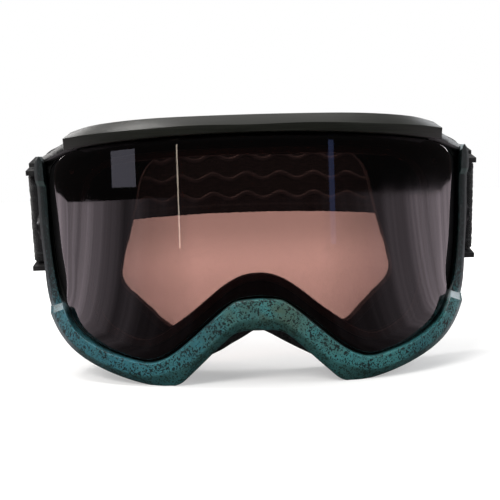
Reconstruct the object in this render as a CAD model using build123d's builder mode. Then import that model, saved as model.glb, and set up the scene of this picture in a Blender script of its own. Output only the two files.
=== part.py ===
"""Snow-sport goggles: a wrap-round frame with a quick-release cylindrical double lens,
three-layer face foam, pivoting outriggers and an adjustable elastic head strap.

Drawing datum: X across the face, +Y from the lens towards the wearer's head, +Z up,
the frontmost line of the outer lens at Y = 0 and the lens axis at Y = 100.
The row origin is the bottom centre of the whole object: ROW moves the finished pieces there.
"""

import os
from math import asin, cos, degrees, hypot, radians, sin, sqrt

from build123d import *

os.makedirs("parts", exist_ok=True)

# ------------------------------------------------------------------ driving dimensions (mm)
FLAT_Z = -47.7         # level of the two flats under the cheek lobes
BACK_Y = 172.0         # rearmost point of the strap loop before it is tilted up
FRONT_R = 106.2        # frontmost radius of the brow bar about the lens axis
LENS_R = 100.0         # outer lens cylinder, axis vertical
LENS_T = 1.6           # outer lens thickness
LENS_GAP = 3.6         # air gap between the two lenses
INNER_T = 0.8          # inner lens thickness
SEAT_R = 92.8          # lens seat in the frame
SEAT_T = 2.0           # seat thickness
GROOVE_R = 95.4        # face of the carrier flange beyond the lens edge
RIM_R = 95.0           # plane where the rim and brow bar meet the frame
RIM_FRONT_R = 102.5    # front of the lower rim
STRIP_FRONT_R = 98.0   # front of the side strips
FLANGE_D = 22.0        # rear face of the frame behind the lens surface
FLANGE_T = 2.0         # rear flange thickness
FOAM_D = (22.0, 31.0, 37.5, 40.5)           # faces of the three foam layers behind the lens surface
PIVOT_Y, PIVOT_Z = 70.0, 10.5               # outrigger pivots
PIVOT_D, PIVOT_CLEAR = 4.0, 0.05            # pivot pin diameter and running clearance
BAR_X, BAR_Y, BAR_R = 91.5, 84.0, 1.5       # strap bars
STRAP_W, STRAP_T, STRAP_CLEAR = 38.0, 1.6, 0.1
STRAP_END_Y = 130.0    # where the straight runs of the strap end
TAIL_END_Y = 131.5     # free end of the doubled-back strap
SLIDER_Y, SLIDER_L = 106.0, 18.0            # three-bar slide on the doubled strap
MAGNET = (8.0, 1.45, 2.4)                   # width, depth, height
SNAP_X, SNAP_Z, PIN_R = 69.0, 31.5, 1.1     # locating pins of the lens
SOCKET_END = 45.0      # rear end of the snap sockets

STRAP_RISE = 11.0      # degrees: the strap and outriggers rise from the pivots towards the back

REAR_Y = PIVOT_Y + (BACK_Y - PIVOT_Y) * cos(radians(STRAP_RISE)) + STRAP_W / 2 * sin(radians(STRAP_RISE))
ROW = Location((0, -(REAR_Y + LENS_R - FRONT_R + 0.07) / 2, -FLAT_Z))
RISE = Axis((0, PIVOT_Y, PIVOT_Z), (1, 0, 0))

# ------------------------------------------------------------------ outlines (x, z), right half, top centre to bottom centre
LENS = [(0, 42.2), (20, 42.0), (40, 41.3), (55, 40.3), (66, 39.2), (73, 36.9), (76.3, 32.8), (76.7, 28),
        (75.4, 14), (74.1, 0), (72.7, -12), (72.7, -18), (70.8, -23.3), (67.3, -27.7), (62.6, -31.3),
        (55, -34.9), (46, -37.5), (40.5, -38.2), (35.5, -36.8), (28, -31.9), (21, -25.8), (14.3, -20.0),
        (8.7, -16.7), (4, -15.6), (0, -15.3)]
CARRIER = [(0, 42.1), (20, 41.9), (40, 41.2), (55, 40.2), (66, 39.1), (74, 37.0), (79.0, 33.6), (80.6, 29),
           (79.9, 14), (78.6, 0), (76.7, -11), (74.4, -17.2), (70.9, -23.1), (67.2, -27.5), (62.5, -31.1),
           (55, -34.7), (46, -37.3), (40.5, -38.0), (35.6, -36.6), (28.1, -31.7), (21.1, -25.6),
           (14.3, -19.8), (8.7, -16.5), (4, -15.4), (0, -15.1)]
OPENING = [(0, 35.2), (25, 35.0), (45, 34.0), (54, 32.4), (59.6, 29), (62.8, 23.5), (63.6, 16), (63.2, 4),
           (62.2, -8), (60, -18), (56.4, -24.6), (51, -28.6), (45.6, -30.8), (41, -31.2), (36.5, -29.6),
           (30, -25.6), (23, -20.4), (16, -14.6), (9.5, -10.1), (4, -8.0), (0, -7.6)]
FRAME_OUT = [(0, 46.2), (30, 46.2), (52, 45.8), (62, 45.0), (70, 43.3), (77, 41.2), (82.2, 39.0), (84.9, 35.6),
             (85.3, 30), (84.9, 16), (83.9, 4), (82.5, -8), (80.7, -18), (78.5, -23.3), (75.7, -28.2),
             (70.5, -33.7), (62, -38.7), (51, -42.7), (40, -45.0), (34, -45.3), (31, -44.6), (27.3, -42.0),
             (22.4, -37.7), (17.1, -33.1), (12.8, -29.4), (9.2, -27.1), (5.4, -26.0), (0, -25.7)]
FRAME_WALL = [(0, 44.0), (30, 44.0), (51, 43.6), (61, 42.8), (69, 41.1), (75.6, 39.0), (80.2, 36.6),
              (82.5, 33.5), (83.0, 29), (82.6, 16), (81.6, 4), (80.2, -7.6), (78.5, -17.2), (76.4, -22.3),
              (73.9, -26.8), (69, -31.9), (61, -36.6), (50.5, -40.5), (40, -42.7), (34.6, -43), (32.2, -42.4),
              (28.8, -40.2), (23.9, -36), (18.6, -31.4), (14.1, -27.6), (10, -25), (5.7, -23.8), (0, -23.5)]
FLANGE_IN = [(0, 39.6), (28, 39.0), (38, 37.0), (44.6, 31), (47.4, 21), (50.6, 9), (54.0, -3), (54.6, -12.4),
             (49.2, -18.9), (42, -25.2), (35.2, -30.6), (30.2, -31.6), (25.4, -29.9), (19.2, -25.6),
             (12.4, -19.8), (6, -15.2), (0, -13.8)]
FOAM_IN = [(0, 38.6), (27, 38.0), (36.5, 35.8), (42.2, 30), (45.0, 20), (48.2, 8), (51.6, -3.5), (52, -11.6),
           (47, -17.1), (40, -23.1), (33.6, -28.4), (30, -29.3), (26.4, -28.0), (20.2, -23.9), (13.2, -18.2),
           (6.2, -13.5), (0, -12)]
FOAM_OUT = [(0, 45.2), (25, 45.2), (45, 44.7), (60, 43.2), (70, 39.9), (76.5, 34.6), (79.6, 27), (80.3, 18),
            (80.0, 6), (78.6, -7), (76.6, -18.2), (73.4, -26), (68.4, -31.6), (61, -36.8), (51, -41),
            (40, -43.7), (33, -44.1), (27, -43.1), (20, -40.6), (14, -37.4), (8, -34.1), (3.2, -31.4), (0, -30.2)]
RIM_OUT = [(88.9, 33.4), (88.2, 27.0), (87.5, 16), (86.4, 4), (85.0, -8), (83.2, -18.6), (81.0, -24.4),
           (78, -29.6), (72.3, -35.7), (63, -41.1), (51.5, -45.2), (40, -47.8), (33.5, -48.2), (29.3, -47.0),
           (25.8, -44.2), (21, -39.7), (15.7, -34.6), (11.7, -31.0), (8.8, -28.9), (5.4, -28.0), (0, -27.9)]
RIM_IN = [(81.9, 33.2), (81.2, 22), (80.7, 9), (79.5, -3), (78.0, -12), (76.6, -17.2), (73.8, -20.8),
          (72.4, -24.0), (69.2, -28.6), (64.0, -32.2), (56, -36.0), (46, -38.7), (40.5, -39.4),
          (34.8, -37.9), (27.4, -33.0), (20.4, -26.9), (13.8, -21.1), (8.2, -17.8), (4, -16.7), (0, -16.4)]
EAR = [(88.9, 33.4), (87.6, 37.0), (85.2, 38.4), (83.1, 37.0), (81.9, 33.2)]
# brow bar stations: x, bottom edge, ridge, top edge
BROW = [(0, 42.7, 45.2, 49.0), (20, 42.5, 45.5, 49.0), (40, 41.8, 45.0, 48.9), (55, 40.9, 44.5, 48.3),
        (64, 40.1, 44.0, 47.4), (70.8, 39.2, 43.4, 45.9)]

# looking at the front of the goggles: its x is +X and its y is +Z
FRONT = Plane(origin=(0, 210, 0), x_dir=(1, 0, 0), z_dir=(0, -1, 0))


def lens_curve(x):
    """Depth of the lens surface at x, behind its frontmost line."""
    return LENS_R - sqrt(LENS_R**2 - x**2)


def mirrored(points):
    """A closed run of points from the right half: both ends lie on the centre line."""
    return points + [(-x, z) for x, z in reversed(points[1:-1])]


def swell(points, amount):
    """The right half of an outline moved outwards by the amount."""
    full = mirrored(points)
    n = len(full)
    out = []
    for i in range(len(points)):
        (x0, z0), (x1, z1) = full[i - 1], full[(i + 1) % n]
        d = hypot(x1 - x0, z1 - z0)
        out.append((full[i][0] - (z1 - z0) / d * amount, full[i][1] + (x1 - x0) / d * amount))
    out[0], out[-1] = (0, out[0][1]), (0, out[-1][1])
    return out


def prism(outer, inner=None):
    """The outline, less an inner outline, run through the whole depth."""
    with BuildPart() as body:
        with BuildSketch(FRONT):
            with BuildLine():
                Spline(mirrored(outer), periodic=True)
            make_face()
            if inner:
                with BuildLine():
                    Spline(mirrored(inner), periodic=True)
                make_face(mode=Mode.SUBTRACT)
        extrude(amount=230)
    return body.part


def layer(front, back, within=None):
    """The space between two depths that both follow the lens curve, optionally inside a cylinder."""
    half = 94.0
    f = lens_curve(half)
    with BuildPart() as body:
        with BuildSketch(Plane.XY.offset(-70)):
            with BuildLine():
                ThreePointArc((-half, f + front), (0, front), (half, f + front))
                Line((half, f + front), (half, f + back))
                ThreePointArc((half, f + back), (0, back), (-half, f + back))
                Line((-half, f + back), (-half, f + front))
            make_face()
            if within:
                with Locations((0, LENS_R)):
                    Circle(within, mode=Mode.INTERSECT)
        extrude(amount=140)
    return body.part


def shell(r_front, r_back):
    """The space between two cylinders round the lens axis, on the wearer's front side."""
    with BuildPart() as body:
        with BuildSketch(Plane.XY.offset(-70)):
            with Locations((0, LENS_R)):
                Circle(r_front)
                Circle(r_back, mode=Mode.SUBTRACT)
            with Locations((0, LENS_R + 100)):
                Rectangle(400, 200, mode=Mode.SUBTRACT)
        extrude(amount=140)
    return body.part


def common(*bodies):
    with BuildPart() as body:
        add(bodies[0])
        for other in bodies[1:]:
            add(other, mode=Mode.INTERSECT)
    return body.part


def save(piece, name, rise=0.0):
    piece = piece.rotate(RISE, rise).moved(ROW)
    piece.label = name
    export_step(piece, f"parts/{name}.step")


def block(x0, x1, y0, y1, z0, z1, mode=Mode.ADD):
    with Locations(((x0 + x1) / 2, (y0 + y1) / 2, (z0 + z1) / 2)):
        Box(x1 - x0, y1 - y0, z1 - z0, mode=mode)


# ------------------------------------------------------------------ where the magnets and pins sit
def radial(x, z, r, spin=0.0):
    """A place at radius r, in line with width x on the seat, its +Y pointing at the lens axis."""
    a = asin(x / SEAT_R)
    return Location((r * sin(a), LENS_R - r * cos(a), z), (0, 0, degrees(a))) * Location((0, 0, 0), (0, spin, 0))


MAGNET_SPOTS = [(-43, 39.1, 1.5), (-15, 39.7, 0), (15, 39.7, 0), (43, 39.1, -1.5),
                (-71.5, 2, 90), (71.5, 2, 90), (-42, -35.7, -4), (42, -35.7, 4)]

with BuildPart() as frame_magnets:
    with Locations(*[radial(x, z, SEAT_R - 0.15 - MAGNET[1] / 2, s) for x, z, s in MAGNET_SPOTS]):
        Box(*MAGNET)
save(frame_magnets.part, "frame_magnets")

with BuildPart() as lens_magnets:
    with Locations(*[radial(x, z, SEAT_R + 0.15 + MAGNET[1] / 2, s) for x, z, s in MAGNET_SPOTS]):
        Box(*MAGNET)
save(lens_magnets.part, "lens_magnets")

# ------------------------------------------------------------------ lens assembly
carrier_in = swell(OPENING, 2.6)

with BuildPart() as outer_lens:
    add(common(prism(LENS), shell(LENS_R, LENS_R - LENS_T)))
save(outer_lens.part, "outer_lens")

gasket_back = LENS_R - LENS_T - LENS_GAP
with BuildPart() as lens_gasket:
    add(common(prism(swell(carrier_in, -0.1), OPENING), shell(LENS_R - LENS_T, gasket_back)))
save(lens_gasket.part, "lens_gasket")

with BuildPart() as inner_lens:
    add(common(prism(swell(carrier_in, -0.1)), shell(gasket_back, gasket_back - INNER_T)))
save(inner_lens.part, "inner_lens")

with BuildPart() as lens_carrier:
    add(common(prism(CARRIER, carrier_in), shell(LENS_R - LENS_T, SEAT_R + 0.03)))
    # the flange beyond the lens edge lies deeper, which leaves a dark groove at each side
    add(common(prism([(x * 1.3, z * 1.3) for x, z in CARRIER], swell(LENS, 0.25)), shell(LENS_R, GROOVE_R)),
        mode=Mode.SUBTRACT)
    with Locations(*[radial(x, z, SEAT_R + MAGNET[1] / 2 - 0.6, s) for x, z, s in MAGNET_SPOTS]):
        Box(MAGNET[0] + 0.1, MAGNET[1] + 1.6, MAGNET[2] + 0.1, mode=Mode.SUBTRACT)
    with Locations(*[Location((x, 34, SNAP_Z), (90, 0, 0)) for x in (-SNAP_X, SNAP_X)]):
        Cylinder(PIN_R + 0.02, 30, mode=Mode.SUBTRACT)
save(lens_carrier.part, "lens_carrier")

for side, sx in (("left", -1), ("right", 1)):
    with BuildPart() as snap_pin:
        with Locations(Location((sx * SNAP_X, SOCKET_END - 7.1, SNAP_Z), (90, 0, 0))):
            Cylinder(PIN_R, 13.0)
        chamfer(snap_pin.edges().group_by(Axis.Y)[-1], 0.4)
    save(snap_pin.part, f"{side}_snap_pin")

# ------------------------------------------------------------------ frame
VENTS_TOP = [-51, -34, -17, 0, 17, 34, 51]
VENTS_LOW = [-60, -47, -35, 35, 47, 60]

with BuildPart() as socket_bosses:
    with Locations(*[Location((x, 45, SNAP_Z), (90, 0, 0)) for x in (-SNAP_X, SNAP_X)]):
        Cylinder(4.3, 30.0)

with BuildPart() as frame:
    add(common(prism(FRAME_OUT, swell(CARRIER, 0.5)), shell(RIM_R, SEAT_R - 0.5)))
    add(common(prism(FRAME_OUT, OPENING), shell(SEAT_R, SEAT_R - SEAT_T)))
    add(common(prism(FRAME_OUT, FRAME_WALL), layer(0, FLANGE_D, within=SEAT_R - 1.0)))
    add(common(prism(FRAME_OUT, FLANGE_IN), layer(FLANGE_D - FLANGE_T, FLANGE_D)))
    # lugs for the outrigger pivots
    for sx in (-1, 1):
        x0, x1 = sorted((sx * 81.0, sx * 85.6))
        block(x0, x1, 61.0, PIVOT_Y + 6.0, PIVOT_Z - 6.5, PIVOT_Z + 6.5)
    # bosses of the snap sockets
    add(common(socket_bosses.part, layer(0, FLANGE_D, within=SEAT_R - 0.5)))
    # pockets
    with Locations(*[radial(x, z, SEAT_R + 0.2 - (MAGNET[1] + 0.4) / 2, s) for x, z, s in MAGNET_SPOTS]):
        Box(MAGNET[0] + 0.1, MAGNET[1] + 0.4, MAGNET[2] + 0.1, mode=Mode.SUBTRACT)
    with Locations(*[Location((x, SOCKET_END - 10, SNAP_Z), (90, 0, 0)) for x in (-SNAP_X, SNAP_X)]):
        Cylinder(2.52, 20, mode=Mode.SUBTRACT)
    # pivot pin bores
    for sx in (-1, 1):
        with Locations(Location((sx * 84.0, PIVOT_Y, PIVOT_Z), (0, 90, 0))):
            Cylinder(PIVOT_D / 2 + 0.01, 8.0, mode=Mode.SUBTRACT)
    # vents
    with Locations(*[(x, lens_curve(x) + 15.0, 45) for x in VENTS_TOP]):
        Box(11.0, 5.0, 12.0, mode=Mode.SUBTRACT)
    with Locations(*[(x, lens_curve(x) + 15.6, -42) for x in VENTS_LOW]):
        Box(8.0, 4.6, 20.0, mode=Mode.SUBTRACT)
save(frame.part, "frame")

for side, sx in (("left", -1), ("right", 1)):
    with BuildPart() as snap_socket:
        with Locations(Location((sx * SNAP_X, SOCKET_END - 7, SNAP_Z), (90, 0, 0))):
            Cylinder(2.5, 14.0)
            Cylinder(PIN_R + 0.1, 14.0, mode=Mode.SUBTRACT)
        with Locations((0, LENS_R, 0)):
            Cylinder(SEAT_R - 0.05, 200, mode=Mode.INTERSECT)
    save(snap_socket.part, f"{side}_snap_socket")

    with BuildPart() as pivot_pin:
        with Locations(Location((sx * 84.9, PIVOT_Y, PIVOT_Z), (0, 90, 0))):
            Cylinder(PIVOT_D / 2, 7.4)
        with Locations(Location((sx * 88.9, PIVOT_Y, PIVOT_Z), (0, 90, 0))):
            Cylinder(3.4, 1.0)
    save(pivot_pin.part, f"{side}_pivot_pin")

# vent foam pads inside the shell
pad = prism(swell(FRAME_WALL, -0.06), swell(FRAME_WALL, -2.4))
throat = layer(0, FLANGE_D - FLANGE_T - 0.1, within=SEAT_R - SEAT_T - 0.1)
with BuildPart() as top_vent_foam:
    add(common(pad, throat))
    block(-62, 62, 0, 120, 30, 60, mode=Mode.INTERSECT)
save(top_vent_foam.part, "top_vent_foam")
for side, x0, x1 in (("left", -70, -24), ("right", 24, 70)):
    with BuildPart() as low_vent_foam:
        add(common(pad, throat))
        block(x0, x1, 0, 120, -60, -20, mode=Mode.INTERSECT)
    save(low_vent_foam.part, f"{side}_vent_foam")

# ------------------------------------------------------------------ lower rim with side strips, brow bar
with BuildPart() as rim_band:
    with BuildSketch(FRONT):
        with BuildLine():
            Spline([(-x, z) for x, z in RIM_OUT] + [p for p in reversed(RIM_OUT[:-1])])
            Spline(EAR)
            Spline(RIM_IN + [(-x, z) for x, z in reversed(RIM_IN[:-1])])
            Spline([(-x, z) for x, z in reversed(EAR)])
        make_face()
    extrude(amount=230)

with BuildPart() as rim_low:
    add(common(rim_band.part, shell(RIM_FRONT_R, RIM_R)))
    block(-100, 100, -20, 120, -60, -20.5, mode=Mode.INTERSECT)

with BuildPart() as lower_rim:
    add(common(rim_band.part, shell(STRIP_FRONT_R, RIM_R)))
    block(-100, 100, -20, 120, -26, 60, mode=Mode.INTERSECT)
    add(rim_low.part)
    block(-100, 100, -20, 120, FLAT_Z - 5, FLAT_Z, mode=Mode.SUBTRACT)
save(lower_rim.part, "lower_rim")


def brow_bottom(x):
    """Height of the bar's lower edge at x."""
    for (x0, z0, _, _), (x1, z1, _, _) in zip(BROW, BROW[1:]):
        if abs(x) <= x1:
            return z0 + (z1 - z0) * (abs(x) - x0) / (x1 - x0)
    return BROW[-1][1]


with BuildPart() as brow_bar:
    for x, bottom, ridge, top in [(-x, b, r, t) for x, b, r, t in reversed(BROW[1:])] + BROW:
        a = asin(x / FRONT_R)
        with BuildSketch(Plane(origin=(0, LENS_R, 0), x_dir=(sin(a), -cos(a), 0), z_dir=(-cos(a), -sin(a), 0))):
            with BuildLine():
                Polyline((RIM_R + 0.15, brow_bottom(x * RIM_R / FRONT_R)), (FRONT_R - 0.4, bottom + 0.1),
                         (FRONT_R, ridge), (101.5, top), (RIM_R + 0.15, top), close=True)
            make_face()
    loft()
save(brow_bar.part, "brow_bar")

# ------------------------------------------------------------------ face foam
for name, front, back, grow in (("foam_base", FOAM_D[0], FOAM_D[1], 0.0), ("foam_mid", FOAM_D[1], FOAM_D[2], -0.8),
                                ("face_fleece", FOAM_D[2], FOAM_D[3], -0.2)):
    with BuildPart() as cushion:
        add(common(prism(swell(FOAM_OUT, grow), swell(FOAM_IN, -grow)), layer(front, back)))
    save(cushion.part, name)

# ------------------------------------------------------------------ outriggers
half_w = STRAP_W / 2
for side, sx in (("left", -1), ("right", 1)):
    with BuildPart() as outrigger:
        # pivot disc and web
        with Locations(Location((sx * 87.1, PIVOT_Y, PIVOT_Z), (0, 90, 0))):
            Cylinder(6.0, 2.4)
        x0, x1 = sorted((sx * 85.9, sx * 88.1))
        block(x0, x1, PIVOT_Y, 80.0, PIVOT_Z - 6.0, PIVOT_Z + 6.0)
        block(x0, x1, 76.0, 80.6, PIVOT_Z - half_w - 2.6, PIVOT_Z + half_w + 2.6)
        # arms that hold the strap bar
        x0, x1 = sorted((sx * 85.9, sx * 94.4))
        for z0, z1 in ((-half_w - 2.6, -half_w - 0.6), (half_w + 0.6, half_w + 2.6)):
            block(x0, x1, 77.5, 87.2, PIVOT_Z + z0, PIVOT_Z + z1)
        with Locations(Location((sx * 87.1, PIVOT_Y, PIVOT_Z), (0, 90, 0))):
            Cylinder(PIVOT_D / 2 + PIVOT_CLEAR, 6.0, mode=Mode.SUBTRACT)
        with Locations((sx * BAR_X, BAR_Y, PIVOT_Z)):
            Cylinder(BAR_R + 0.01, STRAP_W + 6.0, mode=Mode.SUBTRACT)
    save(outrigger.part, f"{side}_outrigger", STRAP_RISE)

    with BuildPart() as strap_bar:
        with Locations((sx * BAR_X, BAR_Y, PIVOT_Z)):
            Cylinder(BAR_R, STRAP_W + 4.8)
    save(strap_bar.part, f"{side}_strap_bar", STRAP_RISE)

# ------------------------------------------------------------------ strap: one webbing, its ends looped round the bars and doubled back
loop_in = BAR_R + STRAP_CLEAR
loop_out = loop_in + STRAP_T
inner_run = BAR_X - loop_in - STRAP_T / 2
outer_run = BAR_X + loop_in + STRAP_T / 2
back_depth = BACK_Y - STRAP_END_Y - STRAP_T / 2

with BuildPart() as head_strap:
    with BuildSketch(Plane.XY.offset(PIVOT_Z - half_w)):
        with Locations((0, STRAP_END_Y)):
            Ellipse(inner_run + STRAP_T / 2, back_depth + STRAP_T / 2)
            Ellipse(inner_run - STRAP_T / 2, back_depth - STRAP_T / 2, mode=Mode.SUBTRACT)
        with Locations((0, STRAP_END_Y - 50)):
            Rectangle(300, 100, mode=Mode.SUBTRACT)
        with Locations((BAR_X, BAR_Y), (-BAR_X, BAR_Y)):
            Circle(loop_out)
            Circle(loop_in, mode=Mode.SUBTRACT)
            with Locations((0, 5)):
                Rectangle(20, 10, mode=Mode.SUBTRACT)
        mid = (BAR_Y + STRAP_END_Y) / 2
        with Locations((inner_run, mid), (-inner_run, mid)):
            Rectangle(STRAP_T, STRAP_END_Y - BAR_Y)
        mid = (BAR_Y + TAIL_END_Y) / 2
        with Locations((outer_run, mid), (-outer_run, mid)):
            Rectangle(STRAP_T, TAIL_END_Y - BAR_Y)
    extrude(amount=STRAP_W)
save(head_strap.part, "head_strap", STRAP_RISE)

with BuildPart() as strap_grip:
    for z in (-10.0, 0.0, 10.0):
        with BuildSketch(Plane.XY.offset(PIVOT_Z + z - 1.5)):
            with Locations((0, STRAP_END_Y)):
                Ellipse(inner_run - STRAP_T / 2 - 0.02, back_depth - STRAP_T / 2 - 0.02)
                Ellipse(inner_run - STRAP_T / 2 - 0.7, back_depth - STRAP_T / 2 - 0.7, mode=Mode.SUBTRACT)
            with Locations((0, STRAP_END_Y - 35)):
                Rectangle(300, 100, mode=Mode.SUBTRACT)
        extrude(amount=3.0)
save(strap_grip.part, "strap_grip", STRAP_RISE)

# ------------------------------------------------------------------ three-bar slides
run_in = inner_run - STRAP_T / 2
run_out = outer_run + STRAP_T / 2
for side, sx in (("left", -1), ("right", 1)):
    with BuildPart() as slider:
        x0, x1 = sorted((sx * (run_in - 0.2), sx * (run_out + 1.7)))
        y0, y1 = SLIDER_Y - SLIDER_L / 2, SLIDER_Y + SLIDER_L / 2
        for z0, z1 in ((-half_w - 2.6, -half_w - 0.2), (half_w + 0.2, half_w + 2.6)):
            block(x0, x1, y0, y1, PIVOT_Z + z0, PIVOT_Z + z1)
        x0, x1 = sorted((sx * (run_out + 0.1), sx * (run_out + 1.7)))
        for y2 in (y0, y1 - 3.2):
            block(x0, x1, y2, y2 + 3.2, PIVOT_Z - half_w - 1, PIVOT_Z + half_w + 1)
        with Locations((sx * BAR_X, SLIDER_Y, PIVOT_Z)):
            Cylinder(1.4, STRAP_W + 2)
    save(slider.part, f"{side}_slider", STRAP_RISE)
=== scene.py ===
import math

import bmesh
import bpy
import numpy as np
from mathutils import Matrix, Vector


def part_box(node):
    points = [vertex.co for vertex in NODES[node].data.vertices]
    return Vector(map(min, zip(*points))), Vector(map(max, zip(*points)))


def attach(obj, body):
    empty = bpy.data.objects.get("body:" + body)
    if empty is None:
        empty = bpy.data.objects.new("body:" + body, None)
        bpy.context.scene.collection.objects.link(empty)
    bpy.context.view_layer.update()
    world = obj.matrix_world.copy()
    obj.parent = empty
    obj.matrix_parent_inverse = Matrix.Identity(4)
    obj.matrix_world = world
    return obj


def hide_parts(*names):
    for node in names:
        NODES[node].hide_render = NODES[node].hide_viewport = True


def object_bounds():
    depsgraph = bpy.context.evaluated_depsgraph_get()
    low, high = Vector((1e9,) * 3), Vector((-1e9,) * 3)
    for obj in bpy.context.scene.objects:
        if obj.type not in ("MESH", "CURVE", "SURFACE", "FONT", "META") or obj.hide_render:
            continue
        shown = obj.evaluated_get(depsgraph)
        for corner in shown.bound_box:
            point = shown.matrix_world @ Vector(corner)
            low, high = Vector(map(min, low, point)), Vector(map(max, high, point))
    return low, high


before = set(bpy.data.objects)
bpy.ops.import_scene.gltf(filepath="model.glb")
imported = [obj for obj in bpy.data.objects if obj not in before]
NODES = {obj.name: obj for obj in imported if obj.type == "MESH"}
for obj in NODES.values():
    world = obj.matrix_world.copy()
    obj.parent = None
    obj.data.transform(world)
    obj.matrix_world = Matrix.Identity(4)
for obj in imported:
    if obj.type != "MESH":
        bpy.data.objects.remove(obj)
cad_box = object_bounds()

rng = np.random.default_rng(7)

# ------------------------------------------------------------------ drawing datum, taken from the CAD boxes (mm)
R = 100.0
Y0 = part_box("outer_lens")[0].y * 1000
Z0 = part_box("lower_rim")[0].z * 1000 + 47.7
PIV_Y, PIV_Z, RISE = 70.0, 10.5, math.radians(11.0)
BAR_X, BAR_Y, BAR_R = 91.5, 84.0, 1.5


def to_row(P):
    P = np.asarray(P, float)
    return (P + np.array([0, Y0, Z0])) / 1000


def rise(P):
    """Tilts strap parts up about the outrigger pivots, as the CAD does."""
    P = np.asarray(P, float).copy()
    y, z = P[..., 1] - PIV_Y, P[..., 2] - PIV_Z
    c, s = math.cos(RISE), math.sin(RISE)
    P[..., 1] = PIV_Y + y * c - z * s
    P[..., 2] = PIV_Z + y * s + z * c
    return P


def curve_y(x, r=R):
    return R - np.sqrt(np.maximum(r * r - np.asarray(x, float) ** 2, 1.0))


# ------------------------------------------------------------------ outlines (x, z), right half
LENS = [(0, 42.2), (20, 42.0), (40, 41.3), (55, 40.3), (66, 39.2), (73, 36.9), (76.3, 32.8), (76.7, 28),
        (75.4, 14), (74.1, 0), (72.7, -12), (72.9, -17.5), (70.8, -23.3), (67.3, -27.7), (62.6, -31.3),
        (55, -34.9), (46, -37.5), (40.5, -38.2), (35.5, -36.8), (28, -31.9), (21, -25.8), (14.3, -20.0),
        (8.7, -16.7), (4, -15.6), (0, -15.3)]
OPENING = [(0, 35.2), (25, 35.0), (45, 34.0), (54, 32.4), (59.6, 29), (62.8, 23.5), (63.6, 16), (63.2, 4),
           (62.2, -8), (60, -18), (56.4, -24.6), (51, -28.6), (45.6, -30.8), (41, -31.2), (36.5, -29.6),
           (30, -25.6), (23, -20.4), (16, -14.6), (9.5, -10.1), (4, -8.0), (0, -7.6)]
FRAME_WALL = [(0, 44.0), (30, 44.0), (51, 43.6), (61, 42.8), (69, 41.1), (75.6, 39.0), (80.2, 36.6),
              (82.5, 33.5), (83.0, 29), (82.6, 16), (81.6, 4), (80.2, -7.6), (78.5, -17.2), (76.4, -22.3),
              (73.9, -26.8), (69, -31.9), (61, -36.6), (50.5, -40.5), (40, -42.7), (34.6, -43), (32.2, -42.4),
              (28.8, -40.2), (23.9, -36), (18.6, -31.4), (14.1, -27.6), (10, -25), (5.7, -23.8), (0, -23.5)]
FOAM_IN = [(0, 38.6), (27, 38.0), (36.5, 35.8), (42.2, 30), (45.0, 20), (48.2, 8), (51.6, -3.5), (52, -11.6),
           (47, -17.1), (40, -23.1), (33.6, -28.4), (30, -29.3), (26.4, -28.0), (20.2, -23.9), (13.2, -18.2),
           (6.2, -13.5), (0, -12)]
FOAM_OUT = [(0, 45.2), (25, 45.2), (45, 44.7), (60, 43.2), (70, 39.9), (76.5, 34.6), (79.6, 27), (80.3, 18),
            (80.0, 6), (78.6, -7), (76.6, -18.2), (73.4, -26), (68.4, -31.6), (61, -36.8), (51, -41),
            (40, -43.7), (33, -44.1), (27, -43.1), (20, -40.6), (14, -37.4), (8, -34.1), (3.2, -31.4), (0, -30.2)]
RIM_OUT = [(88.9, 33.4), (88.2, 27.0), (87.5, 16), (86.4, 4), (85.0, -8), (83.2, -18.6), (81.0, -24.4),
           (78, -29.6), (72.3, -35.7), (63, -41.1), (51.5, -45.2), (40, -47.7), (33.5, -48.0), (29.3, -47.0),
           (25.8, -44.2), (21, -39.7), (15.7, -34.6), (11.7, -31.0), (8.8, -28.9), (5.4, -28.0), (0, -27.9)]
RIM_IN = [(81.9, 33.2), (81.2, 22), (80.7, 9), (79.5, -3), (78.0, -12), (76.6, -17.2), (73.8, -20.8),
          (72.4, -24.0), (69.2, -28.6), (64.0, -32.2), (56, -36.0), (46, -38.7), (40.5, -39.4),
          (34.8, -37.9), (27.4, -33.0), (20.4, -26.9), (13.8, -21.15), (11.0, -18.9), (8.4, -17.3), (4, -16.6), (0, -16.4)]
BROW = [(0, 42.7, 45.2, 49.0), (20, 42.5, 45.5, 49.0), (40, 41.8, 45.0, 48.9), (55, 40.9, 44.5, 48.3),
        (64, 40.1, 44.0, 47.4), (70.8, 39.2, 43.4, 45.9)]


def cubic(P, closed, n):
    """n points evenly spaced along the cubic spline through P."""
    P = np.array(P, float)
    m = len(P)
    d = np.linalg.norm((np.roll(P, -1, 0) - P), axis=1)
    if not closed:
        d = d[:-1]
    t = np.concatenate([[0], np.cumsum(d)])
    A = np.zeros((m, m))
    B = np.zeros((m, P.shape[1]))
    for i in range(m):
        if not closed and i in (0, m - 1):
            A[i, i] = 1
            continue
        h0, h1 = d[i - 1], d[i]
        A[i, i - 1] += h0
        A[i, i] += 2 * (h0 + h1)
        A[i, (i + 1) % m] += h1
        B[i] = 6 * ((P[(i + 1) % m] - P[i]) / h1 - (P[i] - P[i - 1]) / h0)
    M = np.linalg.solve(A, B)
    s = np.linspace(0, t[-1], 8001)
    i = np.clip(np.searchsorted(t, s, side="right") - 1, 0, len(d) - 1)
    j = (i + 1) % m
    h = d[i][:, None]
    u = (s - t[i])[:, None]
    D = (M[i] * (h - u) ** 3 + M[j] * u ** 3) / (6 * h) + (P[i] / h - M[i] * h / 6) * (h - u) + (P[j] / h - M[j] * h / 6) * u
    L = np.concatenate([[0], np.cumsum(np.linalg.norm(np.diff(D, axis=0), axis=1))])
    q = np.linspace(0, L[-1], n + 1)[:-1] if closed else np.linspace(0, L[-1], n)
    return np.column_stack([np.interp(q, L, D[:, k]) for k in range(D.shape[1])])


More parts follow.
